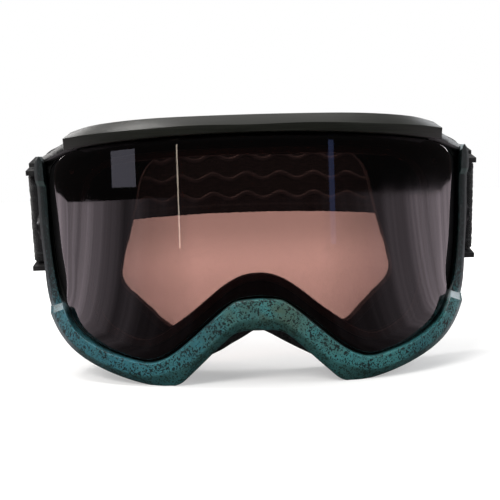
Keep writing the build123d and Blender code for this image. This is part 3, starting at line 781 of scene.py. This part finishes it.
rows_k = {k: smooth_row(k) for k in (1, 2, 3)}
ANG = np.linspace(-math.asin(70.8 / 106.2), math.asin(70.8 / 106.2), 241)
G = []
secs = []
for a in ANG:
    x = 106.2 * math.sin(a)
    zb, zr, zt = (np.interp(x, rows_k[k][:, 0], rows_k[k][:, 1]) for k in (1, 2, 3))
    xb = 96 * math.sin(a)
    zbb = np.interp(xb, rows_k[1][:, 0], rows_k[1][:, 1])
    e = min(1.0, (1 - abs(a) / ANG[-1]) * 12)          # ends
    pts = [(95.2, zbb + 0.0), (105.35, zb + 0.0), (105.62, zb + 0.10), (105.72, zb + 0.32), (106.12, zr - 0.16), (106.12, zr - 0.02),
           (106.0, zr + 0.14), (102.5, zt - 0.32), (102.15, zt - 0.08), (101.7, zt), (97.0, zt), (95.9, zt - 0.15), (95.3, zt - 0.7), (95.2, zt - 1.6)]
    secs.append([(r * math.sin(a), R - r * math.cos(a), z) for r, z in pts])
G = np.array(secs).transpose(1, 0, 2)
V, F = skin(G, wrap_v=False, cap=True)
bb = make("brow_trim", to_row(V), F, "frame", M["brow"], ("brow_bar",), angle=24)
bevel(bb, 0.25, 2, 50)

# ------------------------------------------------------------------ shoulders: from the ends of the bar to the ears
for side, sx in (("left", -1), ("right", 1)):
    top = cubic([(66.0, 44.0, 101.3), (70.5, 42.9, 101.0), (75.5, 41.2, 99.4), (80.5, 39.4, 97.9), (85.0, 38.2, 96.8)], False, 40)
    secs = []
    for x, z, r in top:
        w = np.interp(x, [66, 72, 85], [4.6, 4.4, 3.2])
        pts = [(95.0 if r > 96.5 else r - 2.5, z - w), (r - 1.2, z - w), (r - 0.3, z - w + 0.5), (r, z - w + 1.3), (r - 0.3, z - w * 0.45), (r - 1.5, z - 0.5), (r - 2.2, z - 0.05), (r - 4.2, z)]
        if r - 4.2 < 93:
            pts[-1] = (93.0, z)
        ring = []
        for rr, zz in pts:
            yy = R - math.sqrt(max(rr * rr - x * x, 1.0))
            ring.append((sx * x, yy, zz))
        secs.append(ring)
    G = np.array(secs).transpose(1, 0, 2)
    V, F = skin(G, wrap_v=False, cap=True)
    sh = make(f"shoulder_{side}", to_row(V), F, "frame", M["frame"], angle=30)

# ------------------------------------------------------------------ vent foam behind the slots
def vent_pad(name, node, x0, x1, top):
    full = np.array(outline(FRAME_WALL, 2400))
    sel = full[(full[:, 0] >= x0) & (full[:, 0] <= x1) & ((full[:, 1] > 25) if top else (full[:, 1] < -25))]
    sel = sel[np.argsort(sel[:, 0])]
    xs = np.linspace(sel[0, 0], sel[-1, 0], 160)
    zs = np.interp(xs, sel[:, 0], sel[:, 1])
    sgn = -1 if top else 1
    secs = []
    for x, z in zip(xs, zs):
        y0, y1 = R - math.sqrt(90.4 ** 2 - x * x) + 0.2, float(curve_y(x)) + 19.6
        if y1 - y0 < 1.0:
            y1 = y0 + 1.0
        pts = []
        for f_, h_ in ((0, 0.15), (0.03, 0.0), (0.25, 0.0), (0.5, 0.0), (0.75, 0.0), (0.97, 0.0), (1, 0.15), (1, 2.0), (0.97, 2.25), (0.5, 2.3), (0.03, 2.25), (0, 2.0)):
            pts.append((x, y0 + f_ * (y1 - y0), z + sgn * (0.15 + h_)))
        secs.append(pts)
    G = np.array(secs).transpose(1, 0, 2)
    V, F = skin(G, wrap_v=False, cap=True)
    return make(name, to_row(V), F, "frame", M["vent"], (node,), angle=60)


vent_pad("vent_pad_top", "top_vent_foam", -61, 61, True)
vent_pad("vent_pad_left", "left_vent_foam", -69, -25, False)
vent_pad("vent_pad_right", "right_vent_foam", 25, 69, False)

# ------------------------------------------------------------------ face foam: three bonded layers, then a puffed fleece
fo_ref = outline(FOAM_OUT, N)
fi_ref = polar_match(outline(FOAM_IN, 2400), fo_ref)


def foam_layer(name, node, d0, d1, grow, key, bulge):
    fo = fo_ref + (fo_ref - fi_ref) / np.linalg.norm(fo_ref - fi_ref, axis=1)[:, None] * grow
    fi = fi_ref - (fo_ref - fi_ref) / np.linalg.norm(fo_ref - fi_ref, axis=1)[:, None] * grow
    h = d1 - d0
    sec = [(0.02, d0 + 0.05), (0.0, d0 + 0.35), (-0.0, d0 + 0.5 * h), (0.0, d1 - 0.35), (0.02, d1 - 0.05), (0.25, d1), (0.5, d1), (0.75, d1),
           (0.98, d1 - 0.05), (1.0, d1 - 0.35), (1.0, d0 + 0.5 * h), (1.0, d0 + 0.35), (0.98, d0 + 0.05), (0.5, d0)]
    G = band(fi, fo, sec, behind)
    w = np.linalg.norm(fo - fi, axis=1)
    k = bulge / w
    for i, (t, d) in enumerate(sec):
        if abs(d - (d0 + 0.5 * h)) < 0.01:
            tt = -k if t < 0.5 else 1 + k
            p = fi + tt[:, None] * (fo - fi)
            G[i] = np.column_stack([p[:, 0], behind(p[:, 0], None, d), p[:, 1]])
    V, F = skin(G)
    ob = make(name, to_row(V), F, "frame", M[key], (node,), angle=50)
    return ob


fb = foam_layer("foam_layer_base", "foam_base", 22.05, 30.95, -0.3, "foam_base", 0.35)
fm = foam_layer("foam_layer_mid", "foam_mid", 31.0, 37.4, -1.0, "foam_mid", 0.3)
ff = foam_layer("fleece_face", "face_fleece", 37.5, 40.3, -0.6, "fleece", 0.5)


def displace_noise(ob, scale, amp, seed=0, fine=0.0):
    """Moves each vertex along its normal by a smooth field: foam and cloth are never dead flat."""
    from mathutils import noise as mn
    me = ob.data
    n = len(me.vertices)
    co, no = np.zeros(n * 3), np.zeros(n * 3)
    me.vertices.foreach_get("co", co)
    me.vertices.foreach_get("normal", no)
    co, no = co.reshape(-1, 3), no.reshape(-1, 3)
    off = np.array([seed, seed * 2.0, 0.0])
    h = np.array([mn.noise(Vector(p * scale + off)) for p in co]) * amp
    if fine:
        h += np.array([mn.noise(Vector(p * scale * 3.1 - off)) for p in co]) * fine
    me.vertices.foreach_set("co", (co + no * h[:, None] / 1000).ravel())
    me.update()


def puff(ob, voxel=2.0, pressure=4.0, frames=20, cap=1.4, hold=None):
    """Remesh, inflate as cloth and apply; a vertex moves at most cap mm and the held ones stay put."""
    r = ob.modifiers.new("remesh", "REMESH")
    r.mode = "VOXEL"
    r.voxel_size = voxel / 1000
    # even out the steps the voxels leave along the edges
    sm = ob.modifiers.new("even", "SMOOTH")
    sm.factor = 0.5
    sm.iterations = 8
    apply_modifiers(ob)
    me = ob.data
    before = np.zeros(len(me.vertices) * 3)
    me.vertices.foreach_get("co", before)
    cl = ob.modifiers.new("cloth", "CLOTH")
    st = cl.settings
    st.quality = 5
    st.mass = 0.15
    st.use_pressure = True
    st.uniform_pressure_force = pressure
    st.effector_weights.gravity = 0
    st.tension_stiffness = st.compression_stiffness = 15
    st.bending_stiffness = 0.5
    if hold is not None:
        g = ob.vertex_groups.new(name="hold")
        g.add([v.index for v in me.vertices if hold(v.co)], 1.0, "REPLACE")
        st.vertex_group_mass = "hold"
    cl.point_cache.frame_start = 1
    cl.point_cache.frame_end = frames
    for f in range(1, frames + 1):
        bpy.context.scene.frame_set(f)
    dg = bpy.context.evaluated_depsgraph_get()
    ev = ob.evaluated_get(dg).data
    after = np.zeros(len(ev.vertices) * 3)
    ev.vertices.foreach_get("co", after)
    ob.modifiers.remove(cl)
    bpy.context.scene.frame_set(1)
    d = (after - before).reshape(-1, 3)
    ln = np.linalg.norm(d, axis=1)
    d *= np.minimum(1, cap / 1000 / np.maximum(ln, 1e-9))[:, None]
    me.vertices.foreach_set("co", (before + d.ravel()))
    me.update()
    ev2 = ob.modifiers.new("even", "SMOOTH")
    ev2.factor = 0.5
    ev2.iterations = 8
    subsurf(ob, 1)
    apply_modifiers(ob)
    smooth(ob, 180)
    if not ob.data.materials:
        ob.data.materials.append(M["fleece"])
    return ob


# ------------------------------------------------------------------ head strap
T = 1.6
OUT_X, IN_X = BAR_X + 2.4, BAR_X - 2.4
half = []
half += [(OUT_X, y) for y in np.linspace(131.5, 84.0, 60)[:-1]]
half += [(BAR_X + 2.4 * math.cos(a), BAR_Y - 2.4 * math.sin(a)) for a in np.linspace(0, math.pi, 40)[:-1]]
half += [(IN_X, y) for y in np.linspace(84.0, 130.0, 60)[:-1]]
half += [(IN_X * math.cos(a), 130.0 + 41.2 * math.sin(a)) for a in np.linspace(0, math.pi / 2, 120)]
path = np.array(half + [(-x, y) for x, y in half[-2::-1]])
L = np.concatenate([[0], np.cumsum(np.linalg.norm(np.diff(path, axis=0), axis=1))])
TOTAL = L[-1]
ns = int(TOTAL / 0.5)
q = np.linspace(0, TOTAL, ns)
P2 = np.column_stack([np.interp(q, L, path[:, 0]), np.interp(q, L, path[:, 1])])
tan = np.gradient(P2, axis=0)
tan /= np.linalg.norm(tan, axis=1)[:, None]
for _ in range(3):
    tan[1:-1] = (tan[:-2] + 2 * tan[1:-1] + tan[2:]) / 4
    tan /= np.linalg.norm(tan, axis=1)[:, None]
nor = np.column_stack([-tan[:, 1], tan[:, 0]])
if nor[0, 0] * OUT_X < 0:
    nor = -nor
W = 18.7
NW = 56
ws = np.linspace(-W, W, NW)


def face_offset(w, s):
    """Half thickness of the webbing: lengthwise ribs, thicker sewn edges."""
    rib = 0.075 * np.cos(2 * math.pi * w / 2.05)
    edge = 0.10 * np.exp(-((np.abs(w) - (W - 1.4)) / 0.9) ** 2)
    taper = np.clip((W - np.abs(w)) / 0.5, 0, 1) ** 0.5
    return (0.60 + rib + edge) * taper


sec_pts = [(w, face_offset(w, 0)) for w in ws] + [(w, -face_offset(w, 0)) for w in ws[::-1][1:-1]]
wig = 0.10 * np.sin(q * 2 * math.pi / 3.1) + 0.05 * np.sin(q * 2 * math.pi / 1.3 + 1)
G, UV = [], []
for w, o in sec_pts:
    edgew = 1 if abs(w) > W - 0.8 else 0
    ww = w + np.sign(w) * wig * edgew
    G.append(np.column_stack([P2[:, 0] + nor[:, 0] * o, P2[:, 1] + nor[:, 1] * o, np.full(ns, PIV_Z) + ww]))
    UV.append(np.column_stack([q, np.full(ns, w)]))
G = np.array(G)
V, F = skin(rise(G), wrap_v=False, cap=True)
strap = make("strap_webbing", to_row(V), F, "strap", M["webbing"], ("head_strap",), angle=50, uv=np.array(UV).reshape(-1, 2))

# hems at the two free ends, with rows of stitching
def path_at(s):
    return np.array([np.interp(s, q, P2[:, 0]), np.interp(s, q, P2[:, 1])]), np.array([np.interp(s, q, nor[:, 0]), np.interp(s, q, nor[:, 1])])


def tube(points, radius, seg=6):
    """A closed tube round a polyline."""
    P = np.asarray(points, float)
    t = np.gradient(P, axis=0)
    t /= np.linalg.norm(t, axis=1)[:, None]
    up = np.array([0, 0, 1.0])
    a = np.cross(t, up)
    bad = np.linalg.norm(a, axis=1) < 1e-3
    a[bad] = np.cross(t[bad], np.array([0, 1.0, 0]))
    a /= np.linalg.norm(a, axis=1)[:, None]
    b = np.cross(t, a)
    G = [P + radius * (math.cos(k) * a + math.sin(k) * b) for k in np.linspace(0, 2 * math.pi, seg, endpoint=False)]
    return skin(np.array(G), wrap_v=False, cap=True)


def merge(parts):
    V, F, n = [], [], 0
    for v, f in parts:
        V.append(v)
        F += [tuple(i + n for i in face) for face in f]
        n += len(v)
    return np.concatenate(V), F


stitches = []
for end in (0, 1):
    for ds in (1.7, 4.0):          # clear of the slide at the end of its travel
        s0 = ds if end == 0 else TOTAL - ds
        p, nn = path_at(s0)
        for w in np.arange(-17.2, 17.3, 2.4):
            for sgn in (1,):
                o = 0.78
                pts = [(p[0] + nn[0] * o * k, p[1] + nn[1] * o * k, PIV_Z + w + dw) for dw, k in ((-0.85, 0.75), (-0.6, 1.12), (0, 1.25), (0.6, 1.12), (0.85, 0.75))]
                stitches.append(tube(pts, 0.16))
V, F = merge(stitches)
make("strap_stitching", to_row(rise(V)), F, "strap", M["thread"], angle=60)

# silicone lines inside the back of the strap
beads = []
s_mid = TOTAL / 2
for zc in (-10.0, 0.0, 10.0):
    ss = np.linspace(s_mid - 68, s_mid + 68, 300)
    pts, nn = [], []
    for s_ in ss:
        p, n_ = path_at(s_)
        wv = zc + 1.5 * math.sin(s_ * 2 * math.pi / 17.0)
        taper = min(1, (68 - abs(s_ - s_mid)) / 3 + 0.25)
        pts.append((p, n_, wv, taper))
    ring = []
    for k in range(8):
        a = math.pi * k / 7
        row_ = []
        for p, n_, wv, tp in pts:
            # the wearer's side of the webbing
            sgn = -1 if (n_[0] * p[0] + n_[1] * (p[1] - 110)) > 0 else 1
            o = sgn * (0.60 + 0.70 * math.sin(a) * tp)
            w2 = wv + 1.25 * math.cos(a) * tp
            row_.append((p[0] + n_[0] * o, p[1] + n_[1] * o, PIV_Z + w2))
        ring.append(row_)
    beads.append(skin(np.array(ring), wrap_v=False, cap=True))
V, F = merge(beads)
make("grip_lines", to_row(rise(V)), F, "strap", M["silicone"], ("strap_grip",), angle=60)

# ------------------------------------------------------------------ soft parts: simulated fleece
FLEECE_D = 37.5


def on_foam(co):
    """The side of the fleece bonded to the foam."""
    return (co.y * 1000 - Y0) - float(curve_y(co.x * 1000)) < FLEECE_D + 0.9


puff(ff, hold=on_foam)
for ob, sc, amp in ((fb, 180, 0.25), (fm, 240, 0.25), (ff, 90, 0.35), (strap, 420, 0.22)):
    displace_noise(ob, sc, amp)

# ------------------------------------------------------------------ stage, light and camera
def floor():
    me = bpy.data.meshes.new("floor")
    X = 14.0
    prof = [(-14.0, 0), (-1.0, 0), (1.0, 0), (14.0, 0)]
    V = [(x, y, z) for y, z in prof for x in (-X, X)]
    F = [(2 * i, 2 * i + 1, 2 * i + 3, 2 * i + 2) for i in range(len(prof) - 1)]
    me.from_pydata(V, [], F)
    ob = bpy.data.objects.new("floor", me)
    bpy.context.scene.collection.objects.link(ob)
    m = Mat("floor_pale")
    n1 = m.noise(3.0, 3, 0.5)
    x, y, _ = m.xyz()
    lp = m.n("ShaderNodeLightPath")
    far = m.math("SQRT", m.math("ADD", m.math("MULTIPLY", x, x), m.math("MULTIPLY", y, y)))
    # pale to the eye, fading to plain white away from the object
    d1, e1 = m.n("ShaderNodeBsdfDiffuse"), m.n("ShaderNodeEmission")
    m.put(d1.inputs[0], m.mix(n1, (0.47, 0.47, 0.47), (0.49, 0.49, 0.49)))
    m.put(e1.inputs[1], m.ramp(m.math("MULTIPLY", far, 0.5), (0.07, 0.40), (0.30, 1.0)))
    ad = m.n("ShaderNodeAddShader")
    m.t.links.new(d1.outputs[0], ad.inputs[0])
    m.t.links.new(e1.outputs[0], ad.inputs[1])
    # in reflections: a dim room, lighter towards the sides in uneven upright bands
    azim = m.math("ABSOLUTE", m.math("ARCTAN2", x, m.math("MULTIPLY", y, -1.0)))
    band_ = m.ramp(m.math("MULTIPLY", azim, 1 / math.pi), (0.14, 0.035), (0.26, 0.12), (0.36, 0.45), (0.46, 1.30), (0.60, 1.15), (0.9, 0.40))
    cv = m.n("ShaderNodeCombineXYZ")
    m.put(cv.inputs[0], m.math("ARCTAN2", x, m.math("MULTIPLY", y, -1.0)))
    wave = m.noise(5.0, 5, 0.7, vec=cv.outputs[0])
    e2 = m.n("ShaderNodeEmission")
    e2.inputs[0].default_value = (1.0, 0.90, 0.97, 1)
    m.put(e2.inputs[1], m.math("MULTIPLY", band_, m.ramp(wave, (0.32, 0.25), (0.68, 1.60))))
    d2 = m.n("ShaderNodeBsdfDiffuse")
    d2.inputs[0].default_value = (0.34, 0.33, 0.33, 1)
    m1, m2 = m.n("ShaderNodeMixShader"), m.n("ShaderNodeMixShader")
    m.put(m1.inputs[0], lp.outputs["Is Glossy Ray"])
    m.t.links.new(d2.outputs[0], m1.inputs[1])
    m.t.links.new(e2.outputs[0], m1.inputs[2])
    m.put(m2.inputs[0], lp.outputs["Is Camera Ray"])
    m.t.links.new(m1.outputs[0], m2.inputs[1])
    m.t.links.new(ad.outputs[0], m2.inputs[2])
    me.materials.append(m.done(m2.outputs[0]))
    me.polygons.foreach_set("use_smooth", [True] * len(me.polygons))
    return ob


floor()

world = bpy.data.worlds.new("world")
bpy.context.scene.world = world
world.use_nodes = True
wt = world.node_tree
wt.nodes.clear()


def wn(kind, **kw):
    node = wt.nodes.new(kind)
    for k, v in kw.items():
        setattr(node, k, v)
    return node


w_out = wn("ShaderNodeOutputWorld")
w_cam = wn("ShaderNodeBackground")
w_cam.inputs[0].default_value = (1.0, 1.0, 1.0, 1)
w_cam.inputs[1].default_value = 1.0
w_env = wn("ShaderNodeBackground")
w_co = wn("ShaderNodeTexCoord")
w_sep = wn("ShaderNodeSeparateXYZ")
wt.links.new(w_co.outputs["Generated"], w_sep.inputs[0])
w_ramp = wn("ShaderNodeValToRGB")
el_ = w_ramp.color_ramp.elements
for _ in range(2):
    el_.new(0.5)
for e_, (p_, c_) in zip(el_, ((0.0, 0.20), (0.50, 0.022), (0.66, 0.05), (1.0, 0.45))):
    e_.position = p_
    e_.color = (c_ * 1.0, c_ * 0.98, c_ * 0.97, 1)
w_z = wn("ShaderNodeMath", operation="MULTIPLY_ADD")
wt.links.new(w_sep.outputs[2], w_z.inputs[0])
w_z.inputs[1].default_value = 0.5
w_z.inputs[2].default_value = 0.5
wt.links.new(w_z.outputs[0], w_ramp.inputs[0])
wt.links.new(w_ramp.outputs[0], w_env.inputs[0])
w_env.inputs[1].default_value = 1.0
w_lp = wn("ShaderNodeLightPath")
w_mix = wn("ShaderNodeMixShader")
wt.links.new(w_lp.outputs["Is Camera Ray"], w_mix.inputs[0])
wt.links.new(w_env.outputs[0], w_mix.inputs[1])
wt.links.new(w_cam.outputs[0], w_mix.inputs[2])
wt.links.new(w_mix.outputs[0], w_out.inputs[0])


def area(name, loc, target, size, size_y, power, color=(1, 1, 1)):
    d = bpy.data.lights.new(name, "AREA")
    d.shape = "RECTANGLE"
    d.size, d.size_y = size, size_y
    d.energy = power
    d.color = color
    o = bpy.data.objects.new(name, d)
    bpy.context.scene.collection.objects.link(o)
    o.location = loc
    v = Vector(target) - Vector(loc)
    o.rotation_euler = v.to_track_quat("-Z", "Y").to_euler()
    return o


mid = Vector(((cad_box[0].x + cad_box[1].x) / 2, cad_box[0].y + 0.03, cad_box[1].z / 2))
area("softbox_top", (0.05, 0.05, 1.1), (0, 0.03, 0), 1.2, 1.0, 7.0, (1.0, 0.985, 0.97))
area("key_front", (-0.45, -0.95, 0.80), mid, 0.5, 0.5, 17.0, (1.0, 0.98, 0.96))
area("fill_right", (0.9, -0.6, 0.65), mid, 0.5, 0.5, 6.0, (0.95, 0.98, 1.0))
area("bar_light", (-0.42, 0.04, 0.80), (-0.045, -0.06, 0.09), 0.20, 0.12, 2.6, (1.0, 0.98, 0.96))
area("back_left", (-0.7, 0.75, 0.6), (0, 0.05, 0.05), 0.5, 0.5, 5.0, (1.0, 0.98, 0.97))
area("back_right", (0.7, 0.70, 0.5), (0, 0.05, 0.05), 0.5, 0.5, 4.0, (0.95, 0.97, 1.0))
area("streak_left", (-0.497, -0.75, 0.0745), (0, mid.y, 0.0745), 0.009, 0.127, 0.020, (1.0, 0.90, 0.74))
area("window_left", (-0.78, -0.45, 0.104), (0, mid.y, 0.104), 0.20, 0.052, 0.030, (0.80, 0.84, 1.0))
area("streak_right", (0.52, -0.74, 0.075), (0, mid.y, 0.075), 0.040, 0.130, 0.010, (0.30, 0.45, 1.0))

cam_d = bpy.data.cameras.new("camera")
cam = bpy.data.objects.new("camera", cam_d)
bpy.context.scene.collection.objects.link(cam)
az, el, roll, D = math.radians(-1.0), math.radians(3.0), math.radians(-1.73), 420.0
back = np.array([math.sin(az) * math.cos(el), -math.cos(az) * math.cos(el), math.sin(el)])
tgt = to_row([0.0, 20.0, 0.0])
pos = tgt + back * D / 1000
fw = -back
right = np.cross(fw, [0, 0, 1.0])
right /= np.linalg.norm(right)
up = np.cross(right, fw)
r2 = right * math.cos(roll) + up * math.sin(roll)
u2 = -right * math.sin(roll) + up * math.cos(roll)
mw = Matrix(((r2[0], u2[0], back[0], pos[0]), (r2[1], u2[1], back[1], pos[1]), (r2[2], u2[2], back[2], pos[2]), (0, 0, 0, 1)))
cam.matrix_world = mw
cam_d.sensor_width = 36.0
cam_d.lens = 1126.44 / 500 * 36
cam_d.shift_x = 0.5 - 256.5 / 500
cam_d.clip_start = 0.01
cam_d.clip_end = 20
bpy.context.scene.camera = cam

try:
    bpy.context.scene.view_settings.view_transform = "Standard"
except TypeError:
    pass
